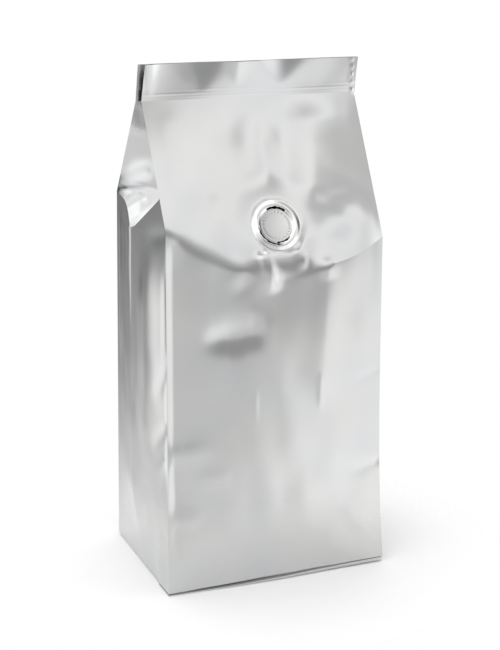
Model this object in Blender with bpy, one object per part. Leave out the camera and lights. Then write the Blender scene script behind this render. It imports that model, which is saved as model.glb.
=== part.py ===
"""A filled coffee bag: a side-gusset foil bag standing on its folded base, with a one-way valve.

Lengths are in metres, +Z is up and the bag's broad front faces -Y. The bag is one solid, lofted
through closed rings of points. Each ring runs round the film: the front panel from left to right,
the right gusset, the back panel from right to left, and the left gusset. The valve is a turned
disc that sits in a round pocket in the leaning part of the front panel.
"""

import math

import bmesh
import bpy
from mathutils import Matrix, Vector

# The bag's four long creases: foot, shoulder, end at the seal, and how soon the crease leaves the
# wider foot on its way up (1 is a straight line).
FRONT_LEFT = ((-0.0413, -0.0314, 0.0006), (-0.0405, -0.0308, 0.1300), (-0.0411, -0.0089, 0.1704), 1)
FRONT_RIGHT = ((0.0424, -0.0309, 0.0019), (0.0397, -0.0306, 0.1225), (0.0411, -0.0021, 0.1704), 4)
BACK_RIGHT = ((0.0421, 0.0302, 0.0010), (0.0399, 0.0297, 0.1280), (0.0421, -0.0007, 0.1704), 3)
BACK_LEFT = ((-0.0407, 0.0310, 0.0006), (-0.0388, 0.0302, 0.1340), (-0.0427, -0.0075, 0.1704), 1)

# Broad panels.
BELLY = 0.0022  # how far the coffee pushes each broad panel out at mid-height
FRONT_SAG = 0.0100  # how much lower the shoulder fold runs at the middle of the panel
BACK_SAG = 0.0050
PANEL_STEPS = 16

# Side gussets.
GUSSET_HALF_WIDTH = 0.0296  # film from a long crease to the gusset's centre crease
GUSSET_BULGE = 0.0042  # how far the centre crease is pushed out along the filled body
GUSSET_BULGE_START = 0.25  # share of the body's height over which the bulge grows from the foot
APEX_HEIGHT = 0.126  # where the centre crease turns from pushed out to folded in
FOLD_TOP = 0.24  # share of the leaning part at which the diagonal folds meet the long creases
KNEE_MARGIN = 0.08  # share of the half gusset that a diagonal fold leaves at either end
KNEE_LIMIT = 0.5  # most of the way to the middle that a knee reaches near the seal
CLOSING_START = 0.75  # share of the leaning part above which the folded gusset closes up
LIP_NOTCH = 0.0035  # how deep the folded gusset still shows between the lips
GUSSET_STEPS = 3  # steps in each of the four stretches of a gusset

# Lips above the seal.
LIP_HEIGHT = 0.0122
LIP_SKEW = 0.0012  # how far the lips lean towards the right at their cut edge
LIP_WAVE = 0.0008
LIP_WAVE_COUNT = 1.5
LIP_STEPS = 5

# Back seam: the raised band where the tube of film is closed.
SEAM_WIDTH = 0.0100
SEAM_THICKNESS = 0.0006
SEAM_EDGE = 0.0005
SEAM_SIDE_STEPS = 7  # steps of the back panel on each side of the seam

# Foot: the folded-under bottom seal lies flat under the bag. Its edge shows in front, and the
# bag's lower edge lifts off it towards the right.
FOOT_ROUNDING = 0.0005
FOOT_THICKNESS = 0.0004
FOOT_REACH = 0.0009  # how far its edge stands out in front of the panel, at the middle
FOOT_GROOVE = 0.0012  # depth of the gap over it at the right end

BODY_STEPS = 16
BODY_STEP_CROWDING = 0.8  # below 1, the rings stand closer together towards the shoulder
ROOF_STEPS = 18

# Valve.
VALVE_RADIUS = 0.0094
VALVE_DISC_RADIUS = 0.0070
VALVE_ACROSS = 0.523  # share of the panel's width
VALVE_UP = 0.22  # share of the leaning part's height
VALVE_PROUD = 0.0010
VALVE_SUNK = 0.0011
VALVE_DISC_TOP = 0.0003
VALVE_DISC_DOME = 0.0003
VALVE_SLOT_DEPTH = 0.0002
VALVE_SLOT_WIDTH = 0.0004
VALVE_SIDES = 48
VALVE_RING_STEPS = 8
CLEARANCE = 0.0003
CUTTER_HEIGHT = 0.01

SHARP_ANGLE = math.radians(35)


def hump(share):
    """0 at both ends and 1 in the middle, with a flat top."""
    return 1.0 - abs(2.0 * share - 1.0) ** 3


def smooth(share):
    share = min(max(share, 0.0), 1.0)
    return share * share * (3.0 - 2.0 * share)


def crease_point(crease, body, roof):
    """A point on a long crease; body and roof are the shares climbed below and above the shoulder."""
    foot, shoulder, seal, haste = crease
    if roof > 0.0:
        return Vector(shoulder).lerp(Vector(seal), roof)
    point = Vector(foot).lerp(Vector(shoulder), 1.0 - (1.0 - body) ** haste)
    point.z = foot[2] + (shoulder[2] - foot[2]) * body
    return point


def even_shares():
    return [step / PANEL_STEPS for step in range(PANEL_STEPS + 1)]


def seam_shares():
    """Even steps across the back up to the seam, then its two edges and its middle."""
    half = SEAM_WIDTH / (BACK_RIGHT[0][0] - BACK_LEFT[0][0]) / 2.0
    edge = half * (1.0 + 2.0 * SEAM_EDGE / SEAM_WIDTH)
    left = [step * (0.5 - edge) / SEAM_SIDE_STEPS for step in range(SEAM_SIDE_STEPS + 1)]
    left.append(0.5 - half)
    return left + [0.5] + [1.0 - share for share in reversed(left)]


def panel_row(left, right, shares, outward, sag, body, roof):
    """One row of a broad panel, from its left crease to its right one."""
    start = crease_point(left, body, roof)
    end = crease_point(right, body, roof)
    belly = 0.0 if roof > 0.0 else BELLY * math.sin(math.pi * body)
    lowering = sag * (1.0 - roof) if roof > 0.0 else sag * body**3
    row = []
    for share in shares:
        point = start.lerp(end, share)
        point.y += outward * belly * hump(share)
        point.z -= lowering * hump(share)
        row.append(point)
    return row


def front_row(body, roof=0.0):
    return panel_row(FRONT_LEFT, FRONT_RIGHT, even_shares(), -1.0, FRONT_SAG, body, roof)


def back_row(body, roof=0.0):
    """The back panel's row, with the seam standing proud along its middle."""
    row = panel_row(BACK_LEFT, BACK_RIGHT, seam_shares(), 1.0, BACK_SAG, body, roof)
    for point in row[SEAM_SIDE_STEPS + 1 : -SEAM_SIDE_STEPS - 1]:
        point.y += SEAM_THICKNESS * (1.0 - roof)
    return row


def gusset_centre_height(first, last, body, roof):
    if roof > 0.0:
        return APEX_HEIGHT + (first[2][2] - APEX_HEIGHT) * roof
    foot = (first[0][2] + last[0][2]) / 2.0
    shoulder = (first[1][2] + last[1][2]) / 2.0
    return foot + (shoulder - foot) * body + (APEX_HEIGHT - shoulder) * body**3


def gusset_fold(half_span, roof):
    """Where a folded half gusset bends: how far the knee reaches in from the long crease, and how
    deep the centre crease lies behind the line between the two long creases."""
    kept = 1.0 - KNEE_MARGIN - (1.0 - 2.0 * KNEE_MARGIN) * min(roof / FOLD_TOP, 1.0)
    reach = min(kept * GUSSET_HALF_WIDTH, max(kept, KNEE_LIMIT) * half_span)
    free = (1.0 - kept) * GUSSET_HALF_WIDTH
    depth = math.sqrt(max(free**2 - (half_span - reach) ** 2, 0.0))
    if roof > CLOSING_START:
        depth = LIP_NOTCH + (depth - LIP_NOTCH) * smooth((1.0 - roof) / (1.0 - CLOSING_START))
    return kept, reach / half_span, depth


def gusset_corners(first, last, outward, body, roof):
    """Long crease, knee, centre crease, knee, long crease."""
    start = crease_point(first, body, roof)
    end = crease_point(last, body, roof)
    middle = (start + end) / 2.0
    centre = middle.copy()
    centre.z = gusset_centre_height(first, last, body, roof)
    if roof > 0.0:
        kept, knee_share, depth = gusset_fold(abs(end.y - start.y) / 2.0, roof)
        bulge = GUSSET_BULGE * max(1.0 - roof / FOLD_TOP, 0.0) ** 2
        centre.x += outward * (bulge - depth)
    else:
        kept = knee_share = 1.0 - KNEE_MARGIN
        bulge = GUSSET_BULGE * smooth(body / GUSSET_BULGE_START)
        centre.x += outward * bulge
    knees = []
    for corner in (start, end):
        knee = corner.lerp(middle, knee_share)
        knee.z = corner.z + (centre.z - corner.z) * kept
        knee.x += outward * bulge * knee_share
        knees.append(knee)
    return start, knees[0], centre, knees[1], end


def gusset_row(first, last, outward, body, roof):
    """A gusset's points between two long creases, both creases left out."""
    corners = gusset_corners(first, last, outward, body, roof)
    row = []
    for one, two in zip(corners, corners[1:]):
        row += [one.lerp(two, step / GUSSET_STEPS) for step in range(GUSSET_STEPS)]
    return row[1:]


def ring_points(body, roof=0.0):
    right = gusset_row(FRONT_RIGHT, BACK_RIGHT, 1.0, body, roof)
    left = gusset_row(BACK_LEFT, FRONT_LEFT, -1.0, body, roof)
    return front_row(body, roof) + right + back_row(body, roof)[::-1] + left


def lip_ring(rise):
    """The seal's ring lifted by a share of the lips' height, and bent into their wave."""
    left_x, right_x = FRONT_LEFT[2][0], FRONT_RIGHT[2][0]
    ring = ring_points(1.0, 1.0)
    for point in ring:
        across = (point.x - left_x) / (right_x - left_x)
        point.x += rise * LIP_SKEW
        point.z += rise * LIP_HEIGHT
        point.y += rise * LIP_WAVE * math.sin(2.0 * math.pi * LIP_WAVE_COUNT * across)
    return ring


def foot_ring(height, rounding, reach, groove):
    """The body's lowest ring laid at a height, with the front edge moved out or in."""
    ring = ring_points(0.0)
    for index, point in enumerate(ring):
        point.z = height
        if index <= PANEL_STEPS:
            share = index / PANEL_STEPS
            point.y += groove * share - reach * hump(share)
        point.x -= math.copysign(rounding, point.x)
        point.y -= math.copysign(rounding, point.y)
    return ring


def foot_rings():
    lowest = foot_ring(0.0, FOOT_ROUNDING, FOOT_REACH, 0.0)
    edge = foot_ring(FOOT_THICKNESS / 2.0, 0.0, FOOT_REACH, 0.0)
    top = foot_ring(FOOT_THICKNESS, 0.0, 0.0, FOOT_GROOVE)
    return [lowest, edge, top]


def bag_rings():
    rings = foot_rings()
    for step in range(BODY_STEPS + 1):
        rings.append(ring_points((step / BODY_STEPS) ** BODY_STEP_CROWDING))
    rings += [ring_points(1.0, step / ROOF_STEPS) for step in range(1, ROOF_STEPS + 1)]
    rings += [lip_ring(step / LIP_STEPS) for step in range(1, LIP_STEPS + 1)]
    return rings


def loft(rings):
    """A closed mesh through rings of equally many points, with a flat cap at each end."""
    mesh_data = bmesh.new()
    rows = [[mesh_data.verts.new(point) for point in ring] for ring in rings]
    count = len(rows[0])
    for lower, upper in zip(rows, rows[1:]):
        for index in range(count):
            after = (index + 1) % count
            mesh_data.faces.new((lower[index], lower[after], upper[after], upper[index]))
    mesh_data.faces.new(rows[0][::-1])
    mesh_data.faces.new(rows[-1])
    bmesh.ops.recalc_face_normals(mesh_data, faces=mesh_data.faces[:])
    return mesh_data


def make_object(name, mesh_data):
    mesh = bpy.data.meshes.new(name)
    mesh_data.to_mesh(mesh)
    mesh_data.free()
    mesh.shade_smooth()
    mesh.set_sharp_from_angle(angle=SHARP_ANGLE)
    piece = bpy.data.objects.new(name, mesh)
    bpy.context.scene.collection.objects.link(piece)
    return piece


def film_material(name, grey, roughness, metallic):
    material = bpy.data.materials.new(name)
    material.use_nodes = True
    shader = material.node_tree.nodes["Principled BSDF"]
    shader.inputs["Base Color"].default_value = (grey, grey, grey, 1.0)
    shader.inputs["Roughness"].default_value = roughness
    shader.inputs["Metallic"].default_value = metallic
    return material


def panel_place(across, up):
    """A point on the leaning part of the front panel."""
    row = front_row(1.0, up)
    place = across * PANEL_STEPS
    index = int(place)
    return row[index].lerp(row[index + 1], place - index)


def valve_frame():
    """The valve's place on the panel, with its +Z along the panel's outward normal."""
    step = VALVE_RADIUS / (FRONT_RIGHT[0][0] - FRONT_LEFT[0][0])
    across = panel_place(VALVE_ACROSS + step, VALVE_UP) - panel_place(VALVE_ACROSS - step, VALVE_UP)
    up = panel_place(VALVE_ACROSS, VALVE_UP + step) - panel_place(VALVE_ACROSS, VALVE_UP - step)
    normal = across.cross(up).normalized()
    side = across.normalized()
    turn = Matrix((side, normal.cross(side), normal)).transposed()
    return Matrix.Translation(panel_place(VALVE_ACROSS, VALVE_UP)) @ turn.to_4x4()


def valve_outline():
    """Radius and height along the valve: its wall, its rounded ring, the slot and the disc."""
    ring_middle = (VALVE_RADIUS + VALVE_DISC_RADIUS) / 2.0
    ring_half = (VALVE_RADIUS - VALVE_DISC_RADIUS) / 2.0
    outline = [(VALVE_RADIUS, -VALVE_SUNK), (VALVE_RADIUS, 0.0)]
    for step in range(1, VALVE_RING_STEPS):
        angle = math.pi * step / VALVE_RING_STEPS
        outline.append((ring_middle + ring_half * math.cos(angle), VALVE_PROUD * math.sin(angle)))
    disc_edge = VALVE_DISC_RADIUS - VALVE_SLOT_WIDTH
    outline.append((VALVE_DISC_RADIUS, -VALVE_SLOT_DEPTH))
    outline.append((disc_edge, -VALVE_SLOT_DEPTH))
    outline.append((disc_edge, VALVE_DISC_TOP))
    outline.append((disc_edge / 2.0, VALVE_DISC_TOP + VALVE_DISC_DOME * 0.75))
    return outline


def turned(outline, top, bottom):
    """Turns an outline about Z and closes it with a point at the top and one at the bottom."""
    mesh_data = bmesh.new()
    rows = []
    for radius, height in outline:
        angles = [2.0 * math.pi * side / VALVE_SIDES for side in range(VALVE_SIDES)]
        circle = [(radius * math.cos(angle), radius * math.sin(angle), height) for angle in angles]
        rows.append([mesh_data.verts.new(point) for point in circle])
    top_point = mesh_data.verts.new((0.0, 0.0, top))
    bottom_point = mesh_data.verts.new((0.0, 0.0, bottom))
    for side in range(VALVE_SIDES):
        after = (side + 1) % VALVE_SIDES
        for lower, upper in zip(rows, rows[1:]):
            mesh_data.faces.new((lower[side], lower[after], upper[after], upper[side]))
        mesh_data.faces.new((rows[-1][side], rows[-1][after], top_point))
        mesh_data.faces.new((rows[0][after], rows[0][side], bottom_point))
    bmesh.ops.recalc_face_normals(mesh_data, faces=mesh_data.faces[:])
    return mesh_data


def make_valve(place):
    dome = VALVE_DISC_TOP + VALVE_DISC_DOME
    valve = make_object("valve", turned(valve_outline(), dome, -VALVE_SUNK))
    valve.data.materials.append(film_material("valve_film", 0.80, 0.25, 0.9))
    valve.matrix_world = place
    return valve


def make_pocket_cutter(place):
    """A plain round plug, a clearance wider and deeper than the valve."""
    radius = VALVE_RADIUS + CLEARANCE
    floor = -VALVE_SUNK - CLEARANCE
    outline = [(radius, floor), (radius, CUTTER_HEIGHT)]
    cutter = make_object("valve_pocket_cutter", turned(outline, CUTTER_HEIGHT, floor))
    cutter.matrix_world = place
    cutter.hide_render = True
    cutter.display_type = "WIRE"
    return cutter


def make_bag(place):
    bag = make_object("bag", loft(bag_rings()))
    bag.data.materials.append(film_material("bag_film", 0.78, 0.3, 0.95))
    pocket = bag.modifiers.new("valve_pocket", "BOOLEAN")
    pocket.operation = "DIFFERENCE"
    pocket.object = make_pocket_cutter(place)
    return bag


def main():
    for leftover in list(bpy.data.objects):
        bpy.data.objects.remove(leftover, do_unlink=True)
    place = valve_frame()
    make_bag(place)
    make_valve(place)


main()
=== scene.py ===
# %% [markdown]
# # A filled coffee bag in silver film
#
# The object is a half-pound coffee bag: a tube of aluminium-coated film with folded sides, filled,
# stood on its folded foot, closed by a heat seal and fitted with a one-way valve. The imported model
# gives the fixed frame. Everything below is a finer piece that takes the place of a plain solid.

# %% Load the fixed frame
import math

import bmesh
import bpy
import numpy as np
from mathutils import Matrix, Vector, noise


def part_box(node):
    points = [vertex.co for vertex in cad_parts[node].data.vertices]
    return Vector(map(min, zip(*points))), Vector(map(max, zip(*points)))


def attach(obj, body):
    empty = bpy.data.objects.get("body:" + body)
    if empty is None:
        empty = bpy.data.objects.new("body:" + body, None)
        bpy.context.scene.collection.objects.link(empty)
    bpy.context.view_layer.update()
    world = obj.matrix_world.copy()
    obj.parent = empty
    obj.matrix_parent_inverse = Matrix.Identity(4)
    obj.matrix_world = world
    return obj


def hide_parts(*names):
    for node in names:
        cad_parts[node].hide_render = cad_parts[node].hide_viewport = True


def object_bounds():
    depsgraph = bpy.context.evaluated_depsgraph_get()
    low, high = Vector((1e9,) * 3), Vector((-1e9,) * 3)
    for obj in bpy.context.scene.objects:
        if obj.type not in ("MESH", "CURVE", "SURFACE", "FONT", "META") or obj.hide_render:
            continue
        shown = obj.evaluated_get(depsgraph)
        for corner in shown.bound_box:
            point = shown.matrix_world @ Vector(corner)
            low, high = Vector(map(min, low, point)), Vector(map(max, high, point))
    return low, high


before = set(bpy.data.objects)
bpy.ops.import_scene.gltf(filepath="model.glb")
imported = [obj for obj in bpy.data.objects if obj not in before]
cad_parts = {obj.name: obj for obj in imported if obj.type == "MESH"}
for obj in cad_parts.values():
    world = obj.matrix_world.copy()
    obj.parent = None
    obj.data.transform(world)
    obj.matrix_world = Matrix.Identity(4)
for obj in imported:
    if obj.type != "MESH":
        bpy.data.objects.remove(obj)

cad_low, cad_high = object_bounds()


def in_mm(place, digits=1):
    return [round(v * 1000, digits) for v in place]


print("frame box, mm:", in_mm(cad_low), in_mm(cad_high))

# %% [markdown]
# ## Working by hand
#
# Blender's operators act on whatever is selected, and loading the frame leaves its nodes selected.
# So a new piece is always started from an empty selection, and points are picked in code, by their
# place, where a modeller would drag a box round them.

# %% Start a piece, open it and close it
def nothing_selected():
    if bpy.context.mode != "OBJECT":
        bpy.ops.object.mode_set(mode="OBJECT")
    bpy.ops.object.select_all(action="DESELECT")


def open_piece(piece, pick="VERT"):
    nothing_selected()
    piece.select_set(True)
    bpy.context.view_layer.objects.active = piece
    bpy.ops.object.mode_set(mode="EDIT")
    bpy.ops.mesh.select_mode(type=pick)
    bpy.ops.mesh.select_all(action="DESELECT")


def close_piece():
    bpy.ops.object.mode_set(mode="OBJECT")


def name_piece(name):
    piece = bpy.context.active_object
    piece.name = piece.data.name = name
    return piece


# %% Read a piece's points and move them
def read_points(piece):
    places = np.empty(len(piece.data.vertices) * 3)
    piece.data.vertices.foreach_get("co", places)
    return places.reshape(-1, 3)


def write_points(piece, places):
    piece.data.vertices.foreach_set("co", places.ravel())
    piece.data.update()


# %% [markdown]
# ## Camera
#
# The camera stands in front and to the left, a little above the lips, and looks slightly down. A
# long lens keeps the upright creases nearly parallel.

# %% Place the camera
CAMERA_PLACE = Vector((-0.19386, -0.49411, 0.22184))
CAMERA_BACK = Vector((-0.3567660, -0.9010882, 0.2464916))
CAMERA_RIGHT = Vector((0.9297765, -0.3681246, 0.0))
CAMERA_LENS = 83.0
CAMERA_SENSOR = 36.0
CAMERA_NEAR = 0.01

camera_up = CAMERA_BACK.cross(CAMERA_RIGHT)
camera_data = bpy.data.cameras.new("camera")
camera_data.lens = CAMERA_LENS
camera_data.sensor_width = CAMERA_SENSOR
camera_data.clip_start = CAMERA_NEAR
camera = bpy.data.objects.new("camera", camera_data)
bpy.context.scene.collection.objects.link(camera)
camera_turn = Matrix((CAMERA_RIGHT, camera_up, CAMERA_BACK)).transposed()
camera.matrix_world = Matrix.Translation(CAMERA_PLACE) @ camera_turn.to_4x4()
bpy.context.scene.camera = camera
print("camera", round((CAMERA_PLACE - (cad_low + cad_high) / 2).length * 1000), "mm from the bag")

# %% [markdown]
# ## Studio
#
# Silver film has hardly any colour of its own: what it shows is the room. Here the room is a world
# shader, a pale dome that is darker at the height where the table ends. Cards could be stood round
# the bag, but they would throw shadows. So each light or dark card is a soft round patch in one
# direction, and can be moved without touching the rest. The table is a plain pale disc that fades
# out before its rim shows, and one broad lamp overhead lays a soft shadow at the foot.

# %% Set the view and the node helpers
bpy.context.scene.view_settings.view_transform = "Standard"


def link_nodes(tree, pairs):
    for source, target in pairs:
        tree.links.new(source, target)


def math_node(tree, operation, first, second=None):
    node = tree.nodes.new("ShaderNodeMath")
    node.operation = operation
    for socket, value in zip(node.inputs, (first, second)):
        if value is None:
            continue
        if hasattr(value, "is_linked"):
            tree.links.new(value, socket)
        else:
            socket.default_value = value
    return node.outputs[0]


# %% List the room's bands, from straight down to straight up: height in degrees and light
ROOM_BANDS = (
    (-90.0, 0.95), (-30.0, 0.96), (-24.0, 0.93), (-18.0, 0.82), (-12.0, 0.82), (-8.0, 0.74),
    (-4.0, 0.58), (0.0, 0.46), (7.0, 0.42), (13.0, 0.52), (19.0, 0.72), (26.0, 1.10), (33.0, 1.30),
    (60.0, 1.20), (90.0, 1.10),
)
ROOM_LEVEL = 1.22
DARKEST_ROOM = 0.02

# %% List the room's patches: azimuth, height, inner and outer size in degrees, and strength
ROOM_PATCHES = (
    # ahead and to the right, where the bag's front sees them
    (54.0, -18.0, 20.0, 34.0, 0.44),
    (68.0, 2.0, 10.0, 30.0, 0.50),
    # on the right, for film that turns well away from the front
    (105.0, 25.0, 16.0, 36.0, -0.60),
    # behind and to the left, where the left gusset sees them
    (182.0, -2.0, 9.0, 20.0, -0.52),
    (204.0, -3.0, 8.0, 18.0, -0.42),
    (250.0, -10.0, 14.0, 36.0, 0.48),
    (225.0, 8.0, 8.0, 20.0, 0.30),
    (194.0, 10.0, 8.0, 17.0, 0.75),
    # overhead, where the leaning part of the front sees it
    (27.0, 61.5, 18.0, 25.5, -0.48),
    # ahead and to the left
    (-45.0, 20.0, 18.0, 44.0, 0.55),
)


def room_direction(azimuth, height):
    """Azimuth 0 is in front of the bag, 90 on its right and 180 behind it."""
    turn, rise = math.radians(azimuth), math.radians(height)
    flat = math.cos(rise)
    return Vector((math.sin(turn) * flat, -math.cos(turn) * flat, math.sin(rise)))


# %% Build the room's shader
def banded_light(tree, place):
    """The dome's light at the height of a direction, from the list of bands."""
    split = tree.nodes.new("ShaderNodeSeparateXYZ")
    tree.links.new(place, split.inputs[0])
    height = math_node(tree, "ARCSINE", split.outputs["Z"])
    share = math_node(tree, "MULTIPLY_ADD", height, 1.0 / math.pi)
    share.node.inputs[2].default_value = 0.5
    ramp = tree.nodes.new("ShaderNodeValToRGB")
    ramp.color_ramp.interpolation = "EASE"
    stops = ramp.color_ramp.elements
    while len(stops) < len(ROOM_BANDS):
        stops.new(0.5)
    top = max(light for _, light in ROOM_BANDS)
    for stop, (degrees, light) in zip(stops, ROOM_BANDS):
        stop.position = degrees / 180.0 + 0.5
        stop.color = (light / top, light / top, light / top, 1.0)
    tree.links.new(share, ramp.inputs[0])
    return math_node(tree, "MULTIPLY", ramp.outputs["Color"], top)


def add_patches(tree, place, light):
    for azimuth, rise, inner, outer, gain in ROOM_PATCHES:
        toward = tree.nodes.new("ShaderNodeVectorMath")
        toward.operation = "DOT_PRODUCT"
        tree.links.new(place, toward.inputs[0])
        toward.inputs[1].default_value = room_direction(azimuth, rise)
        soft = tree.nodes.new("ShaderNodeMapRange")
        soft.interpolation_type = "SMOOTHERSTEP"
        soft.inputs["From Min"].default_value = math.cos(math.radians(outer))
        soft.inputs["From Max"].default_value = math.cos(math.radians(inner))
        soft.inputs["To Max"].default_value = gain
        tree.links.new(toward.outputs["Value"], soft.inputs["Value"])
        light = math_node(tree, "ADD", light, soft.outputs["Result"])
    return light


def build_room():
    """Objects are lit by the bands and patches, and the view behind them is plain white."""
    world = bpy.data.worlds.new("room")
    world.use_nodes = True
    tree = world.node_tree
    tree.nodes.clear()
    place = tree.nodes.new("ShaderNodeTexCoord").outputs["Generated"]
    light = add_patches(tree, place, banded_light(tree, place))
    light = math_node(tree, "MAXIMUM", light, DARKEST_ROOM)
    light = math_node(tree, "MULTIPLY", light, ROOM_LEVEL)
    studio = tree.nodes.new("ShaderNodeBackground")
    tree.links.new(light, studio.inputs["Strength"])
    backdrop = tree.nodes.new("ShaderNodeBackground")
    backdrop.inputs["Strength"].default_value = 1.0
    backdrop.inputs["Color"].default_value = (1.0, 1.0, 1.0, 1.0)
    rays = tree.nodes.new("ShaderNodeLightPath")
    mix = tree.nodes.new("ShaderNodeMixShader")
    output = tree.nodes.new("ShaderNodeOutputWorld")
    link_nodes(tree, (
        (rays.outputs["Is Camera Ray"], mix.inputs[0]),
        (studio.outputs[0], mix.inputs[1]),
        (backdrop.outputs[0], mix.inputs[2]),
        (mix.outputs[0], output.inputs["Surface"]),
    ))
    return world


bpy.context.scene.world = build_room()
print("room with", len(ROOM_BANDS), "bands and", len(ROOM_PATCHES), "patches")

# %% Lay the table, a pale disc that fades out at its rim
TABLE_RADIUS = 0.9
TABLE_SIDES = 96
TABLE_FADE = (0.050, 0.115)
TABLE_GAP = 0.0001
PAPER_WHITE = 0.95
PAPER_ROUGHNESS = 0.9
PAPER_GLOSS = 0.1

nothing_selected()
bpy.ops.mesh.primitive_circle_add(
    vertices=TABLE_SIDES, radius=TABLE_RADIUS, fill_type="NGON",
    location=(0.0, 0.0, cad_low.z - TABLE_GAP))
table = name_piece("table")
bpy.ops.object.transform_apply(location=True, rotation=True, scale=True)


def table_finish():
    material = bpy.data.materials.new("table_paper")
    material.use_nodes = True
    tree = material.node_tree
    paper = tree.nodes["Principled BSDF"]
    paper.inputs["Base Color"].default_value = (PAPER_WHITE, PAPER_WHITE, PAPER_WHITE, 1.0)
    paper.inputs["Roughness"].default_value = PAPER_ROUGHNESS
    paper.inputs["Specular IOR Level"].default_value = PAPER_GLOSS
    place = tree.nodes.new("ShaderNodeTexCoord").outputs["Object"]
    length = tree.nodes.new("ShaderNodeVectorMath")
    length.operation = "LENGTH"
    tree.links.new(place, length.inputs[0])
    fade = tree.nodes.new("ShaderNodeMapRange")
    fade.interpolation_type = "SMOOTHSTEP"
    fade.inputs["From Min"].default_value = TABLE_FADE[0]
    fade.inputs["From Max"].default_value = TABLE_FADE[1]
    clear = tree.nodes.new("ShaderNodeBsdfTransparent")
    mix = tree.nodes.new("ShaderNodeMixShader")
    link_nodes(tree, (
        (length.outputs["Value"], fade.inputs["Value"]),
        (fade.outputs["Result"], mix.inputs[0]),
        (paper.outputs[0], mix.inputs[1]),
        (clear.outputs[0], mix.inputs[2]),
        (mix.outputs[0], tree.nodes["Material Output"].inputs["Surface"]),
    ))
    return material


table.data.materials.append(table_finish())
print("table fades out between, mm:", in_mm(TABLE_FADE, 0))

# %% Hang the lamp
LAMP_PLACE = Vector((0.0, 0.0, 1.1))
LAMP_AIM = Vector((0.0, 0.0, 0.05))
LAMP_SIZE = 1.0
LAMP_WATTS = 1.6

lamp_data = bpy.data.lights.new("overhead", "AREA")
lamp_data.shape = "SQUARE"
lamp_data.size = LAMP_SIZE
lamp_data.energy = LAMP_WATTS
lamp = bpy.data.objects.new("overhead", lamp_data)
lamp.location = LAMP_PLACE
lamp.rotation_euler = (LAMP_AIM - LAMP_PLACE).to_track_quat("-Z", "Y").to_euler()
lamp.visible_camera = False
bpy.context.scene.collection.objects.link(lamp)
print("lamp", lamp.name, "of", LAMP_WATTS, "watts")

# %% [markdown]
# ## Silver film
#
# The film is a sandwich of a clear outer web, a vapour-deposited coat of aluminium and an inner
# sealing web. It is a metal with a satin gloss: no coarse grain, but the coat is never quite even
# and the web never quite flat, so its tint, its gloss and its tilt wander a little. A painted image
# would need unwrapping. Here all three come from noise in object coordinates, each at a scale of
# its own.

# %% Say how unevenly the film is coated
CLOUD_SCALE = 38.0
CLOUD_DETAIL = 3.0
CLOUD_DARK = (0.30, (0.955, 0.965, 0.98))
CLOUD_LIGHT = (0.70, (1.015, 1.01, 0.995))
GLOSS_SCALE = 70.0
GLOSS_DETAIL = 2.0
GLOSS_SPREAD = 0.12
NOISE_RANGE = (0.3, 0.7)
RIPPLE_DETAIL = 1.0


# %% Make the film's finish
def film_finish(name, grey, roughness, ripple, ripple_depth):
    material = bpy.data.materials.new(name)
    material.use_nodes = True
    tree = material.node_tree
    film = tree.nodes["Principled BSDF"]
    film.inputs["Metallic"].default_value = 1.0
    place = tree.nodes.new("ShaderNodeTexCoord").outputs["Object"]

    cloud = tree.nodes.new("ShaderNodeTexNoise")
    cloud.inputs["Scale"].default_value = CLOUD_SCALE
    cloud.inputs["Detail"].default_value = CLOUD_DETAIL
    tint = tree.nodes.new("ShaderNodeValToRGB")
    for stop, (position, tone) in zip(tint.color_ramp.elements, (CLOUD_DARK, CLOUD_LIGHT)):
        stop.position = position
        stop.color = (grey * tone[0], grey * tone[1], grey * tone[2], 1.0)

    gloss = tree.nodes.new("ShaderNodeTexNoise")
    gloss.inputs["Scale"].default_value = GLOSS_SCALE
    gloss.inputs["Detail"].default_value = GLOSS_DETAIL
    spread = tree.nodes.new("ShaderNodeMapRange")
    spread.inputs["From Min"].default_value = NOISE_RANGE[0]
    spread.inputs["From Max"].default_value = NOISE_RANGE[1]
    spread.inputs["To Min"].default_value = roughness * (1.0 - GLOSS_SPREAD)
    spread.inputs["To Max"].default_value = roughness * (1.0 + GLOSS_SPREAD)

    wrinkle = tree.nodes.new("ShaderNodeTexNoise")
    wrinkle.inputs["Scale"].default_value = ripple
    wrinkle.inputs["Detail"].default_value = RIPPLE_DETAIL
    bump = tree.nodes.new("ShaderNodeBump")
    bump.inputs["Strength"].default_value = 1.0
    bump.inputs["Distance"].default_value = ripple_depth
    link_nodes(tree, (
        (place, cloud.inputs["Vector"]),
        (cloud.outputs["Fac"], tint.inputs[0]),
        (tint.outputs["Color"], film.inputs["Base Color"]),
        (place, gloss.inputs["Vector"]),
        (gloss.outputs["Fac"], spread.inputs["Value"]),
        (spread.outputs["Result"], film.inputs["Roughness"]),
        (place, wrinkle.inputs["Vector"]),
        (wrinkle.outputs["Fac"], bump.inputs["Height"]),
        (bump.outputs["Normal"], film.inputs["Normal"]),
    ))
    return material


silver_film = film_finish(
    "silver_film", grey=0.62, roughness=0.18, ripple=70.0, ripple_depth=0.00004)
print("finish:", silver_film.name)

# %% [markdown]
# ## The folded tube
#
# The factory folds a flat web of film round a former and welds its two edges down the middle of the
# back. The piece is made the same way: one flat grid, laid round the bag column by column. Four
# upright creases bound the front, the back and the two gussets, and each row of the grid is a ring
# round the bag at one height. A box with its corners pulled about, or a cloth that is blown up,
# would round the pressed creases off. Rules that place each point keep every crease on a line of
# points. The shoulder, where the body ends and the upper part leans back, is one such line.

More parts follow.
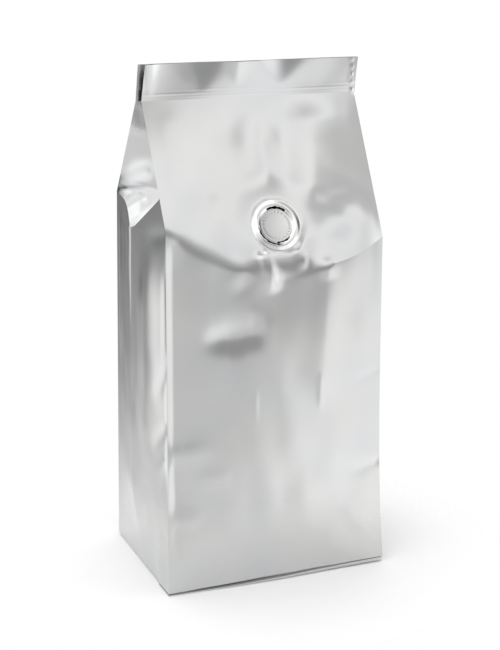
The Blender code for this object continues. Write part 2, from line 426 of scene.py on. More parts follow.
# %% Name the creases: foot, shoulder, end at the seal, and how soon a crease leaves the wider foot
FRONT_LEFT = ((-0.0413, -0.0314, 0.0006), (-0.0405, -0.0308, 0.1300), (-0.0411, -0.0089, 0.1704), 1)
FRONT_RIGHT = ((0.0424, -0.0309, 0.0019), (0.0397, -0.0306, 0.1225), (0.0411, -0.0021, 0.1704), 4)
BACK_RIGHT = ((0.0421, 0.0302, 0.0010), (0.0399, 0.0297, 0.1280), (0.0421, -0.0007, 0.1704), 3)
BACK_LEFT = ((-0.0407, 0.0310, 0.0006), (-0.0388, 0.0302, 0.1340), (-0.0427, -0.0075, 0.1704), 1)


def crease_point(crease, body, roof):
    """A place on a crease: body runs from foot to shoulder, then roof from shoulder to seal."""
    foot, shoulder, seal = (np.array(place) for place in crease[:3])
    if roof > 0.0:
        return shoulder + (seal - shoulder) * roof
    point = foot + (shoulder - foot) * (1.0 - (1.0 - body) ** crease[3])
    point[2] = foot[2] + (shoulder[2] - foot[2]) * body
    return point


print("front's shoulder, mm:", in_mm(FRONT_LEFT[1]), "to", in_mm(FRONT_RIGHT[1]))

# %% Draw the curves that a panel's edge can follow
DROP_LEFT = 0.29
DROP_ROUNDING = 0.07
DROP_RIGHT = 0.55
DROP_RISE = 2.6


def smooth(share):
    share = np.clip(share, 0.0, 1.0)
    return share * share * (3.0 - 2.0 * share)


def hump(share, flatness=3.0):
    return 1.0 - np.abs(2.0 * share - 1.0) ** flatness


def front_drop(share):
    """The front's shoulder: straight down on the left, level under the valve, up on the right."""
    level = math.exp(-1.0 / DROP_ROUNDING)
    falling = -DROP_ROUNDING * np.log(np.exp(-share / DROP_LEFT / DROP_ROUNDING) + level)
    rising = np.clip((share - DROP_RIGHT) / (1.0 - DROP_RIGHT), 0.0, 1.0) ** DROP_RISE
    return falling * (1.0 - rising)


# %% Shape a broad panel's row
BELLY = 0.0022
FRONT_SAG = 0.0118
BACK_SAG = 0.0050


def panel_row(left, right, shares, outward, sag, body, roof, drop=hump):
    """A row from crease to crease: it bellies out over the body and sags towards the shoulder."""
    start, end = crease_point(left, body, roof), crease_point(right, body, roof)
    row = start + (end - start) * shares[:, None]
    belly = 0.0 if roof > 0.0 else BELLY * math.sin(math.pi * body)
    lowering = sag * (1.0 - roof) if roof > 0.0 else sag * body**3
    row[:, 1] += outward * belly * hump(shares, 2.0)
    row[:, 2] -= lowering * drop(shares)
    return row


# %% Shape a gusset's row
GUSSET_BULGE = 0.0037
GUSSET_BULGE_START = 0.25
APEX_HEIGHT = 0.126
# the knee is the fold between the centre crease and a long crease, as a share of the way out
KNEE_SHARE = 0.92
KNEE_TUCKED = 0.02
STRETCH_STEPS = 26
# how far the centre crease is folded in, from the shoulder (0) to the seal (1)
CENTRE_DEPTH = (
    (0.0, 0.0), (0.05, 0.0045), (0.12, 0.0085), (0.24, 0.0125),
    (0.5, 0.0180), (0.75, 0.0230), (1.0, 0.0275),
)
# where the small corner folds end above the shoulder, front then back; 0 leaves a corner round
LEFT_FOLDS = (0.24, 0.0)
RIGHT_FOLDS = (0.20, 0.16)
BOW = 0.0085
BOW_REACH = 0.16
BOW_END = 0.3


def gusset_corners(creases, folds, outward, body, roof):
    """Long crease, knee, centre crease, knee, long crease."""
    start, end = (crease_point(crease, body, roof) for crease in creases[:2])
    centre = (start + end) / 2.0
    foot, shoulder = (sum(crease[part][2] for crease in creases[:2]) / 2.0 for part in (0, 1))
    bulge = GUSSET_BULGE * smooth(body / GUSSET_BULGE_START)
    if roof == 0.0:
        centre[2] = foot + (shoulder - foot) * body + (APEX_HEIGHT - shoulder) * body**3
        centre[0] += outward * bulge
        knees = [corner + (centre - corner) * KNEE_SHARE for corner in (start, end)]
        return start, knees[0], centre, knees[1], end
    depth = np.interp(roof, *zip(*CENTRE_DEPTH))
    centre[2] = APEX_HEIGHT + (creases[0][2][2] - APEX_HEIGHT) * roof
    centre[0] += outward * (bulge * (1.0 - roof) - depth)
    across = depth / abs(creases[2][2][0] - start[0])
    centre[1] = sum(
        near[1] + (crease_point(crease, body, roof)[1] - near[1]) * across
        for near, crease in zip((start, end), creases[2:])) / 2.0
    flat = [crease_point(crease, 1.0, 0.0) for crease in creases[:2]]
    apex = (flat[0] + flat[1]) / 2.0 + np.array((outward * bulge, 0.0, 0.0))
    apex[2] = APEX_HEIGHT
    knees = []
    for corner, below, crease, fold_top in zip((start, end), flat, creases, folds):
        goal = crease_point(crease, 1.0, fold_top)
        first = below + (apex - below) * KNEE_SHARE
        if fold_top == 0.0:
            knees.append(corner + (centre - corner) * KNEE_SHARE)
        elif roof < fold_top:
            knees.append(first + (goal - first) * (roof / fold_top))
        else:
            knees.append(corner + (centre - corner) * KNEE_TUCKED)
    return start, knees[0], centre, knees[1], end


def gusset_row(creases, folds, outward, body, roof):
    """A row across a gusset: four straight stretches, with a bowed line at a round corner."""
    corners = gusset_corners(creases, folds, outward, body, roof)
    shares = np.arange(STRETCH_STEPS)[:, None] / STRETCH_STEPS
    row = np.vstack([one + (two - one) * shares for one, two in zip(corners, corners[1:])])[1:]
    for fold_top, corner in zip(folds, (corners[0], corners[4])):
        if fold_top == 0.0:
            half = (row[:, 1] - corners[2][1]) / (corner[1] - corners[2][1])
            rise = 1.0 - np.exp(-np.clip(half, 0.0, 1.0) / BOW_REACH)
            bow = BOW * rise * np.clip(1.0 - half, 0.0, 1.0)
            bow[half <= 0.0] = 0.0
            row[:, 2] += bow * (body**3 if roof == 0.0 else 1.0 - smooth(roof / BOW_END))
    return row


# %% Join the panels into one ring, from the back seam's middle round by the left
FRONT_STEPS = 104
SEAM_WIDTH = 0.0100
SEAM_EDGE = 0.0004
SEAM_THICKNESS = 0.0006
SEAM_STEPS = 10
BACK_STEPS = 30

front_shares = np.linspace(0.0, 1.0, FRONT_STEPS + 1)
seam_half = SEAM_WIDTH / (BACK_RIGHT[0][0] - BACK_LEFT[0][0]) / 2.0
seam_foot = seam_half * (1.0 + 2.0 * SEAM_EDGE / SEAM_WIDTH)
back_half = np.concatenate([
    np.linspace(0.0, seam_half, SEAM_STEPS), np.linspace(seam_foot, 0.5, BACK_STEPS)])


def back_rows(body, roof):
    """The back panel's two halves: seam to left crease, and right crease to seam."""
    halves = []
    for side in (-1.0, 1.0):
        row = panel_row(BACK_LEFT, BACK_RIGHT, 0.5 + side * back_half, 1.0, BACK_SAG, body, roof)
        row[:SEAM_STEPS, 1] += SEAM_THICKNESS * (1.0 - roof)
        halves.append(row)
    return halves[0], halves[1][::-1]


def ring(body, roof):
    seam_to_left, right_to_seam = back_rows(body, roof)
    left = gusset_row(
        (BACK_LEFT, FRONT_LEFT, BACK_RIGHT, FRONT_RIGHT), LEFT_FOLDS[::-1], -1.0, body, roof)
    front = panel_row(
        FRONT_LEFT, FRONT_RIGHT, front_shares, -1.0, FRONT_SAG, body, roof, front_drop)
    right = gusset_row(
        (FRONT_RIGHT, BACK_RIGHT, FRONT_LEFT, BACK_LEFT), RIGHT_FOLDS, 1.0, body, roof)
    return np.vstack([seam_to_left, left, front, right, right_to_seam])


# %% Work out where the columns of each panel start
LEFT_START = len(back_half)
FRONT_START = LEFT_START + 4 * STRETCH_STEPS - 1
RIGHT_START = FRONT_START + FRONT_STEPS + 1
BACK_START = RIGHT_START + 4 * STRETCH_STEPS - 1
COLUMNS = BACK_START + len(back_half)
print("columns round the bag:", COLUMNS, "front from", FRONT_START, "to", RIGHT_START - 1)

# %% Shape the rings over the seal: pressed flat, then opening a little towards the lips' edge
LIP_HEIGHT = 0.0122
LIP_SKEW = 0.0012
LIP_WAVE = 0.0008
LIP_WAVE_COUNT = 1.5
LIP_FLARE = 0.9


def lip_ring(rise):
    places = ring(1.0, 1.0)
    left, right = FRONT_LEFT[2], FRONT_RIGHT[2]
    across = (places[:, 0] - left[0]) / (right[0] - left[0])
    left_middle = (left[1] + BACK_LEFT[2][1]) / 2.0
    right_middle = (right[1] + BACK_RIGHT[2][1]) / 2.0
    middle = left_middle + (right_middle - left_middle) * across
    places[:, 1] = middle + (places[:, 1] - middle) * (1.0 + LIP_FLARE * rise)
    places[:, 0] += rise * LIP_SKEW
    places[:, 1] += rise * LIP_WAVE * np.sin(2.0 * math.pi * LIP_WAVE_COUNT * across)
    places[:, 2] += rise * LIP_HEIGHT
    return places


# %% Stack the rings: body, leaning roof, seal and open lips
BODY_ROWS = 96
BODY_CROWDING = 0.8
ROOF_ROWS = 56
SEAL_BAND_ROWS = 20
SEAL_BAND_SHARE = 0.34
OPEN_LIP_ROWS = 14

body_shares = (np.arange(BODY_ROWS + 1) / BODY_ROWS) ** BODY_CROWDING
rows = [ring(share, 0.0) for share in body_shares]
rows += [ring(1.0, step / ROOF_ROWS) for step in range(1, ROOF_ROWS + 1)]
lip_shares = np.concatenate([
    np.linspace(0.0, SEAL_BAND_SHARE, SEAL_BAND_ROWS + 1)[1:],
    np.linspace(SEAL_BAND_SHARE, 1.0, OPEN_LIP_ROWS + 1)[1:]])
rows += [lip_ring(rise) for rise in lip_shares]
shell = np.array(rows)
SHOULDER_ROW = BODY_ROWS
SEAL_ROW = BODY_ROWS + ROOF_ROWS
TOP_ROW = len(rows) - 1
print("rings:", len(rows), "points:", shell.shape[0] * shell.shape[1])

# %% [markdown]
# ## Marks in the film
#
# Filled film is never flat: it is drawn tight over the coffee, buckles under the stiff valve and
# creases where it has been handled. A cloth simulation gives folds of its own choice, and here each
# dent has its place, so the points are moved in code, as a brush stroke in sculpt mode moves them.
# Each mark is one row in a list: the two ends of a line on the panel, its width at both ends, how
# far it stands out (or in), how crisp it is, and how gently each end fades. Places are in
# millimetres, so a mark can be read or moved. Under the marks lies a shallow swell, and the
# shoulder's fold is softened where the film is slack.

# %% Press one mark: a ridge or a groove along a line
def mark_height(across, up, mark):
    (x0, z0), (x1, z1), (w0, w1), height, crisp, (fade_in, fade_out) = mark
    run, climb = x1 - x0, z1 - z0
    along = ((across - x0) * run + (up - z0) * climb) / max(run * run + climb * climb, 1e-6)
    place = np.clip(along, 0.0, 1.0)
    away = np.hypot(across - x0 - place * run, up - z0 - place * climb)
    width = w0 + (w1 - w0) * place
    taper = smooth(place / max(fade_in, 1e-3)) if fade_in else 1.0
    taper = taper * (smooth((1.0 - place) / max(fade_out, 1e-3)) if fade_out else 1.0)
    return height * taper * np.exp(-((away / width) ** crisp))


def square_to_film(places):
    """The direction out of the film at every point of the grid."""
    round_the_bag = np.roll(places, -1, axis=1) - np.roll(places, 1, axis=1)
    square = np.cross(round_the_bag, np.gradient(places, axis=0))
    return square / np.maximum(np.linalg.norm(square, axis=2, keepdims=True), 1e-12)


# rows over which marks and swell fade out below the row that they end at
ROWS_TO_FADE = 9.0


def kept_edges(places, columns, margin, top_row):
    """1 on a panel and 0 at its creases and from the top row up, with soft steps between."""
    count = places[:, columns].shape[1]
    edge = np.minimum(np.arange(count), np.arange(count)[::-1]) / margin
    below_top = (top_row - np.arange(places.shape[0])) / ROWS_TO_FADE
    return smooth(edge)[None, :] * smooth(below_top)[:, None]


def press_marks(places, columns, axis, marks, margin):
    """Moves the columns' points out or in by the marks; creases at both ends keep their line."""
    patch = places[:, columns]
    across, up = patch[:, :, axis] * 1000.0, patch[:, :, 2] * 1000.0
    height = sum(mark_height(across, up, mark) for mark in marks)
    height = height * kept_edges(places, columns, margin, SEAL_ROW) / 1000.0
    places[:, columns] += square_to_film(places)[:, columns] * height[:, :, None]
    return np.abs(height).max() * 1000.0


# %% Soften a fold, and let a panel go slack
def soften(places, columns, row, reach, strength, times):
    """Averages rows near a fold with their neighbours, by a reach and strength per column."""
    level = np.arange(places.shape[0])[:, None]
    weight = strength[None, :] * smooth(1.0 - np.abs(level - row) / reach[None, :])
    patch = places[:, columns].copy()
    for _ in range(times):
        middle = (patch[:-2] + patch[2:]) / 2.0
        patch[1:-1] += (middle - patch[1:-1]) * weight[1:-1, :, None]
    places[:, columns] = patch


def let_slack(places, columns, height, across_size, up_size, margin, top_row, seed):
    """Gives the columns the shallow, uneven swell of a film that is full but not tight."""
    size = np.array((across_size, across_size, up_size))
    start = np.array((0.0, seed, 0.0))
    swell = np.array([
        [noise.noise(Vector(point / size + start)) for point in row] for row in places[:, columns]])
    swell = swell * height * kept_edges(places, columns, margin, top_row)
    places[:, columns] += square_to_film(places)[:, columns] * swell[:, :, None]
    return np.abs(swell).max() * 1000.0


# %% Swell the front and the left gusset
FRONT = slice(FRONT_START, RIGHT_START)
LEFT = slice(LEFT_START - 1, FRONT_START + 1)
# a gusset's swell ends this many rows below the shoulder
GUSSET_TOP_ROW = SHOULDER_ROW - 8
# height of the swell, size of its waves across and up, columns that it fades over at the creases
FRONT_SWELL = (0.00022, 0.011, 0.019, 8.0)
GUSSET_SWELL = (0.00016, 0.010, 0.016, 6.0)
BACK_SWELL = (0.00025, 0.012, 0.020, 8.0)

swell = let_slack(shell, FRONT, *FRONT_SWELL, SEAL_ROW, 3.0)
print("front's swell, mm:", round(swell, 2))
swell = let_slack(shell, LEFT, *GUSSET_SWELL, GUSSET_TOP_ROW, 7.0)
print("left gusset's swell, mm:", round(swell, 2))

# %% Soften the shoulder: crisp at both ends, slack left of the middle and under the valve
# where the slack starts and ends, as shares of the front's width, and how soon it does
SLACK_LEFT = (0.0, 0.12, 0.36, 0.24)
SLACK_UNDER_VALVE = (0.34, 0.12, 0.78, 0.24)
SLACK_LEFT_AMOUNT = 0.6
ROUND_END, ROUND_FADE, ROUND_AMOUNT = 0.70, 0.10, 0.25
SOFTEN_REACH, SLACK_REACH, SLACK_STRENGTH = 2.0, 5.5, 0.65
SOFTEN_TIMES = 14


def slack_between(start, rise, end, fall):
    return smooth((front_shares - start) / rise) * smooth((end - front_shares) / fall)


slackness = SLACK_LEFT_AMOUNT * slack_between(*SLACK_LEFT) + slack_between(*SLACK_UNDER_VALVE)
roundness = ROUND_AMOUNT * smooth((ROUND_END - front_shares) / ROUND_FADE)
soften(
    shell, FRONT, SHOULDER_ROW, SOFTEN_REACH + SLACK_REACH * slackness,
    roundness + SLACK_STRENGTH * slackness, SOFTEN_TIMES)
print("the shoulder is softest at share", round(front_shares[np.argmax(slackness)], 2))

# %% Find the valve's place on the leaning panel
VALVE_ACROSS = 0.523
VALVE_UP = 0.22
VALVE_RADIUS = 0.0094
VALVE_SAG = 0.0100


def panel_place(across, up):
    row = panel_row(FRONT_LEFT, FRONT_RIGHT, front_shares, -1.0, VALVE_SAG, 1.0, up)
    return Vector(np.interp(across, front_shares, row[:, axis]) for axis in range(3))


valve_step = VALVE_RADIUS / (FRONT_RIGHT[0][0] - FRONT_LEFT[0][0])
valve_side = (panel_place(VALVE_ACROSS + valve_step, VALVE_UP)
              - panel_place(VALVE_ACROSS - valve_step, VALVE_UP)).normalized()
valve_climb = (panel_place(VALVE_ACROSS, VALVE_UP + valve_step)
               - panel_place(VALVE_ACROSS, VALVE_UP - valve_step)).normalized()
valve_out = valve_side.cross(valve_climb).normalized()
valve_centre = panel_place(VALVE_ACROSS, VALVE_UP)
valve_axes = Matrix((valve_side, valve_out.cross(valve_side), valve_out))
valve_low, valve_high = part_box("valve")
print("valve centre off its box, mm:", in_mm(valve_centre - (valve_low + valve_high) / 2, 2))

# %% Seat the film flat under the valve, in millimetres
SEAT_RADIUS = 9.2
SEAT_DEPTH = 0.25
SEAT_NEAR = 8.0
CUP_RADIUS = 8.2
CUP_DEPTH = 2.6
# how far from its seat the film lies free: widely at first, then closely, to keep the marks
SEAT_REACH = 10.0
WELD_REACH = 2.2


def from_valve(places):
    """Places in millimetres from the valve's centre: across its face, up its face and out of it."""
    return (places - np.array(valve_centre)) @ np.array(valve_axes).T * 1000.0


def seat_film(places, reach):
    """Lays the film in the valve's plane, where it is welded, and leaves it gently."""
    front = places[:, FRONT]
    off = from_valve(front)
    radius = np.hypot(off[:, :, 0], off[:, :, 1])
    free = smooth((radius - SEAT_RADIUS) / reach)
    near = (np.abs(off[:, :, 2]) < SEAT_NEAR) & (radius < SEAT_RADIUS + reach)
    goal = np.where(radius < SEAT_RADIUS, -SEAT_DEPTH, off[:, :, 2] * free)
    goal = np.where(radius < CUP_RADIUS, -CUP_DEPTH, goal)
    move = np.where(near, goal - off[:, :, 2], 0.0)
    front += move[:, :, None] * np.array(valve_out) / 1000.0
    return np.abs(move).max()


print("film moved to the valve's seat, mm:", round(seat_film(shell, SEAT_REACH), 2))

# %% Lay the front's marks: dents from the coffee, buckles under the valve, handling creases
FRONT_MARKS = (
    # below the valve: three buckles that run down from its stiff ring
    ((-4.9, 120.5), (-1.8, 105.0), (2.6, 3.2), 0.95, 2.0, (0.12, 0.4)),
    ((7.2, 122.0), (11.0, 112.0), (2.2, 2.6), 0.80, 2.0, (0.05, 0.5)),
    ((18.2, 117.0), (19.0, 108.0), (2.4, 3.0), 0.34, 2.0, (0.5, 0.5)),
    # the slack fold from the valve to the broad dent, and the dent
    ((-15.0, 114.0), (-3.5, 93.0), (5.0, 4.0), -0.34, 2.0, (0.3, 0.5)),
    ((-32.0, 91.0), (-3.0, 92.5), (4.4, 4.8), -0.80, 2.0, (0.45, 0.22)),
    ((-20.0, 88.0), (-12.0, 88.0), (4.0, 4.0), -0.12, 2.0, (0.3, 0.3)),
    # the right of the front turns away along an upright line
    ((18.5, 134.0), (17.0, 60.0), (9.0, 9.0), 0.65, 1.5, (0.15, 0.4)),
    # short upright creases
    ((-9.2, 73.5), (-9.2, 58.0), (0.6, 0.6), 0.10, 1.3, (0.3, 0.5)),
    ((15.6, 76.5), (15.8, 60.5), (1.1, 1.1), 0.18, 1.4, (0.2, 0.4)),
    # cross folds at the left and right creases
    ((-41.0, 51.0), (-20.0, 53.5), (3.0, 5.0), 0.42, 1.8, (0.0, 0.6)),
    ((-32.0, 42.5), (-17.0, 41.0), (3.2, 3.2), 0.20, 2.0, (0.4, 0.4)),
    ((-41.0, 28.5), (-27.0, 26.5), (3.2, 3.2), 0.22, 2.0, (0.2, 0.5)),
    ((36.0, 12.0), (24.0, 27.0), (3.0, 4.0), 0.22, 2.0, (0.3, 0.5)),
    ((41.5, 39.5), (24.0, 36.0), (1.2, 3.0), -0.35, 1.5, (0.0, 0.7)),
    ((40.0, 74.0), (25.0, 69.5), (1.5, 3.0), -0.16, 1.7, (0.0, 0.6)),
    # the leaning part: its right side falls away from a soft ridge, slack bands lie over the valve
    ((24.0, 178.0), (19.0, 131.0), (10.5, 6.5), -1.20, 2.0, (0.48, 0.2)),
    ((20.0, 121.0), (34.0, 141.0), (6.0, 8.5), 1.20, 2.0, (0.45, 0.4)),
    ((1.2, 166.0), (1.6, 138.5), (3.0, 2.4), -0.34, 2.0, (0.4, 0.3)),
    ((-7.0, 166.0), (-4.0, 139.0), (4.0, 3.5), 0.30, 2.0, (0.5, 0.3)),
    ((8.5, 164.0), (10.0, 137.0), (4.0, 3.5), 0.36, 2.0, (0.4, 0.3)),
    ((-20.3, 140.0), (-18.8, 132.0), (1.8, 1.8), -0.12, 2.0, (0.4, 0.3)),
    # a groove beside the left crease, where the folded edge stands up
    ((-37.6, 129.0), (-37.6, 4.0), (2.6, 2.6), -0.55, 2.0, (0.1, 0.3)),
)
print("front marks reach, mm:", round(press_marks(shell, FRONT, 0, FRONT_MARKS, 2), 2))
print("marks moved back to the weld, mm:", round(seat_film(shell, WELD_REACH), 2))

# %% Lay the left gusset's marks
LEFT_MARKS = (
    # the pressed centre crease, and the soft valley that runs in from the shoulder
    ((0.2, 126.0), (0.5, 84.0), (0.7, 0.7), 0.32, 1.2, (0.0, 0.6)),
    ((-33.0, 128.6), (-12.0, 125.0), (2.6, 3.5), -0.30, 2.0, (0.0, 0.7)),
    # the filled front half swells, most in its lower part
    ((-17.0, 128.0), (-18.0, 24.0), (9.0, 10.5), 1.45, 2.0, (0.26, 0.35)),
    ((-24.0, 92.0), (-24.0, 60.0), (5.0, 5.0), 0.35, 2.0, (0.4, 0.4)),
    ((-29.6, 118.0), (-29.6, 80.0), (1.2, 1.2), -0.30, 2.0, (0.3, 0.3)),
    ((-27.0, 22.0), (-20.0, 5.0), (3.5, 4.5), 0.45, 2.0, (0.4, 0.1)),
    ((-12.0, 40.0), (-4.0, 16.0), (3.0, 4.0), -0.30, 2.0, (0.4, 0.4)),
    # upright stripes on the back half
    ((21.5, 130.0), (22.0, 60.0), (2.6, 2.6), 0.28, 2.0, (0.1, 0.4)),
    ((12.0, 130.0), (11.0, 76.0), (1.8, 1.8), -0.20, 2.0, (0.1, 0.4)),
    # handling kinks beside the front crease
    ((-31.0, 82.0), (-20.0, 66.0), (2.2, 3.6), -0.34, 2.0, (0.0, 0.6)),
    ((-31.0, 62.0), (-16.0, 47.0), (1.8, 4.5), -0.40, 2.0, (0.0, 0.6)),
    ((-31.0, 51.0), (-22.0, 40.0), (1.4, 2.6), 0.26, 2.0, (0.0, 0.6)),
    # the rounded ridge of the folded-in part
    ((30.0, 136.0), (5.5, 145.0), (1.8, 1.8), 0.40, 2.0, (0.4, 0.1)),
)
print("left marks reach, mm:", round(press_marks(shell, LEFT, 1, LEFT_MARKS, 1), 2))

# %% Give the right gusset and the back their own quiet swell and marks
RIGHT = slice(RIGHT_START - 1, BACK_START + 1)
BACK_NEAR_LEFT = slice(SEAM_STEPS + 1, LEFT_START)
BACK_NEAR_RIGHT = slice(BACK_START, COLUMNS - SEAM_STEPS - 1)
RIGHT_MARKS = (
    # the pressed centre crease, the swell of both halves and a kink beside the front crease
    ((0.0, 126.0), (0.0, 84.0), (0.7, 0.7), 0.30, 1.2, (0.0, 0.6)),
    ((-16.0, 124.0), (-17.0, 26.0), (9.0, 10.0), 1.00, 2.0, (0.25, 0.35)),
    ((17.0, 122.0), (16.0, 30.0), (9.0, 10.0), 0.90, 2.0, (0.25, 0.35)),
    ((-31.0, 74.0), (-17.0, 68.0), (1.8, 4.0), -0.30, 2.0, (0.0, 0.6)),
)
let_slack(shell, RIGHT, *GUSSET_SWELL, GUSSET_TOP_ROW, 11.0)
for part, seed in ((BACK_NEAR_LEFT, 17.0), (BACK_NEAR_RIGHT, 23.0)):
    let_slack(shell, part, *BACK_SWELL, SEAL_ROW, seed)
print("right marks reach, mm:", round(press_marks(shell, RIGHT, 1, RIGHT_MARKS, 1), 2))

# %% [markdown]
# ## Seal and lips
#
# A heated bar with fine ribs presses the tube flat and welds it. Over the seal the film is left
# open, and its free lips bend in wide lobes. They could be sheets of their own, but as rings of the
# same grid they stay one piece with the bag. The rings then turn over at the lips' edge and run
# down inside, one film's thickness in.

# %% Bend the lips in lobes: middle, start over the seal, half width and depth, in millimetres
LIP_LOBES = (
    (11.3, 4.0, 7.0, -1.1), (-19.0, 2.5, 6.5, -1.0), (-5.5, 3.5, 4.0, 0.5), (-38.0, 1.0, 2.5, 0.7),
    (25.0, 2.0, 8.0, 0.3),
)
LOBE_CURVE = 1.3
LOBE_FOOT_WIDTH = 0.25
BACK_LIP_BEND = 0.8
SIDE_LIP_BEND = 0.9


def lip_bend(across, over):
    bend = np.zeros(over.shape)
    for middle, start, half, depth in LIP_LOBES:
        rise = np.clip((over - start) / (LIP_HEIGHT * 1000.0 - start), 0.0, 1.0)
        width = half * (LOBE_FOOT_WIDTH + (1.0 - LOBE_FOOT_WIDTH) * rise)
        bend -= depth * rise**LOBE_CURVE * np.exp(-(((across - middle) / width) ** 2))
    return bend


# %% Press the seal's ribs, fainter in places, and the crimped fold at its right end
SEAL_RIBS = ((0.9, 0.016), (2.0, 0.022), (3.1, 0.014))
RIB_HALF_WIDTH = 0.38
RIB_ENDS = 40.0
RIB_MEAN, RIB_SWING, RIB_WAVE, RIB_CLIMB = 0.75, 0.5, 9.0, 2.6
CRIMP_PLACE = 40.2
CRIMP_HALF_WIDTH = 0.45
CRIMP_HEIGHT = 0.30
CRIMP_MEAN, CRIMP_SWING, CRIMP_CLIMB = 0.6, 0.4, 2.3


def seal_relief(across, over):
    rib = sum(
        height * np.exp(-(((over - rise) / RIB_HALF_WIDTH) ** 2)) for rise, height in SEAL_RIBS)
    uneven = RIB_MEAN + RIB_SWING * np.sin(across / RIB_WAVE + over * RIB_CLIMB)
    rib = rib * uneven * (np.abs(across) < RIB_ENDS)
    crimp = CRIMP_HEIGHT * np.exp(-(((across - CRIMP_PLACE) / CRIMP_HALF_WIDTH) ** 2))
    return rib + crimp * (CRIMP_MEAN + CRIMP_SWING * np.sin(over * CRIMP_CLIMB))


def shape_lips(places):
    lips = places[SEAL_ROW:]
    over = (lips[:, :, 2] - FRONT_LEFT[2][2]) * 1000.0
    across = lips[:, :, 0] * 1000.0
    bend, rib = lip_bend(across, over), seal_relief(across, over)
    lips[:, FRONT, 1] += (bend[:, FRONT] - rib[:, FRONT]) / 1000.0
    back = np.r_[0:LEFT_START, BACK_START:COLUMNS]
    lips[:, back, 1] += (bend[:, back] * BACK_LIP_BEND + rib[:, back]) / 1000.0
    sides = np.r_[LEFT_START:FRONT_START, RIGHT_START:BACK_START]
    lips[:, sides, 1] += bend[:, sides] * SIDE_LIP_BEND / 1000.0
    return np.abs(bend).max()


print("lips bend by up to, mm:", round(shape_lips(shell), 2))

# %% Turn the film over at the lips' edge and down inside
FILM_THICKNESS = 0.00012
LIP_INSIDE_ROWS = 18
LIP_INSIDE_FOOT = 0.3


def set_inward(places, distance):
    """A ring's points moved in by the film's thickness, square to the ring."""
    ahead = np.roll(places, -1, axis=0) - places
    ahead[:, 2] = 0.0
    ahead /= np.maximum(np.linalg.norm(ahead, axis=1, keepdims=True), 1e-9)
    square = np.stack([-ahead[:, 1], ahead[:, 0], ahead[:, 2]], axis=1)
    both = square + np.roll(square, 1, axis=0)
    both /= np.maximum(np.linalg.norm(both, axis=1, keepdims=True), 1e-9)
    return places + both * distance


inside = []
for step in range(LIP_INSIDE_ROWS + 1):
    rise = 1.0 - (1.0 - LIP_INSIDE_FOOT) * step / LIP_INSIDE_ROWS
    at = np.interp(rise, lip_shares, np.arange(SEAL_ROW + 1, TOP_ROW + 1))
    lower = min(int(at), TOP_ROW - 1)
    outer = shell[lower] + (shell[lower + 1] - shell[lower]) * (at - lower)
    inside.append(set_inward(outer, FILM_THICKNESS))
shell = np.concatenate([shell, np.array(inside)])
print("rings with the lips' inside:", len(shell))

# %% [markdown]
# ## From flat web to bag
#
# The places are ready, and now the mesh follows the factory's steps. A flat web is added, laid
# round the bag and welded along the back. Its lower end is turned in and drawn together, as the
# folded foot, and its inner end is closed deep between the lips. Open ends would hardly show, but
# a closed skin has one clear inside and outside.

# %% Add the flat web and lay it round the bag
WELD_DISTANCE = 0.00001

nothing_selected()
bpy.ops.mesh.primitive_grid_add(
    x_subdivisions=COLUMNS, y_subdivisions=len(shell) - 1, size=1.0, location=(0.0, 0.0, 0.0))
film = name_piece("film")
flat = read_points(film)
cells = flat[:, :2] - flat[:, :2].min(axis=0)
cells = np.rint(cells * (COLUMNS, len(shell) - 1) / np.ptp(flat[:, :2], axis=0)).astype(int)
column, level = cells.T
write_points(film, shell[level, column % COLUMNS])
open_piece(film)
bpy.ops.mesh.select_all(action="SELECT")
bpy.ops.mesh.remove_doubles(threshold=WELD_DISTANCE)
close_piece()
print("film points after welding the seam:", len(film.data.vertices))

# %% Close the foot: turn the lowest ring in and draw it to the middle
# how far in from the sides each turn reaches, and how far it goes up
FOOT_TURNS = ((0.0004, -0.0004), (0.006, 0.0), (0.016, 0.0))


def boundary(piece, test):
    """Selects the open edges that pass the test, in edit mode."""
    mesh_data = bmesh.from_edit_mesh(piece.data)
    for edge in mesh_data.edges:
        edge.select_set(edge.is_boundary and all(test(point.co) for point in edge.verts))
    bmesh.update_edit_mesh(piece.data)
    return sum(edge.select for edge in mesh_data.edges)


half_height = (cad_low.z + cad_high.z) / 2.0
open_piece(film, "EDGE")
print("edges round the foot:", boundary(film, lambda place: place.z < half_height))
width, depth = (cad_high - cad_low).x, (cad_high - cad_low).y
inset_so_far = 0.0
for inset, lift in FOOT_TURNS:
    bpy.ops.mesh.extrude_edges_move(TRANSFORM_OT_translate={"value": (0.0, 0.0, lift)})
    factors = [(side - 2.0 * inset) / (side - 2.0 * inset_so_far) for side in (width, depth)]
    bpy.ops.transform.resize(value=(factors[0], factors[1], 1.0), center_override=(0.0, 0.0, 0.0))
    inset_so_far = inset
bpy.ops.mesh.extrude_edges_move(TRANSFORM_OT_translate={"value": (0.0, 0.0, 0.0)})
bpy.ops.mesh.merge(type="COLLAPSE")
close_piece()

# %% Seal the lips inside, and turn all faces out
open_piece(film, "EDGE")
print("edges inside the lips:", boundary(film, lambda place: place.z > half_height))
bpy.ops.mesh.fill(use_beauty=False)
bpy.ops.mesh.select_all(action="SELECT")
bpy.ops.mesh.normals_make_consistent(inside=False)
close_piece()

# %% Finish the film: creases sharper than the angle stay sharp
FILM_CREASE = 18.0


def finish_piece(piece, angle, material, slot, *stands_for):
    """Smooths a piece, dresses it, and tells the frame what it rides on and replaces."""
    nothing_selected()
    piece.select_set(True)
    bpy.context.view_layer.objects.active = piece
    bpy.ops.object.shade_smooth_by_angle(angle=math.radians(angle))
    piece.data.materials.append(material)
    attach(piece, "root")
    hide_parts(*stands_for)
    print(piece.name, len(piece.data.polygons), "faces")


finish_piece(film, FILM_CREASE, silver_film, "film", "bag")

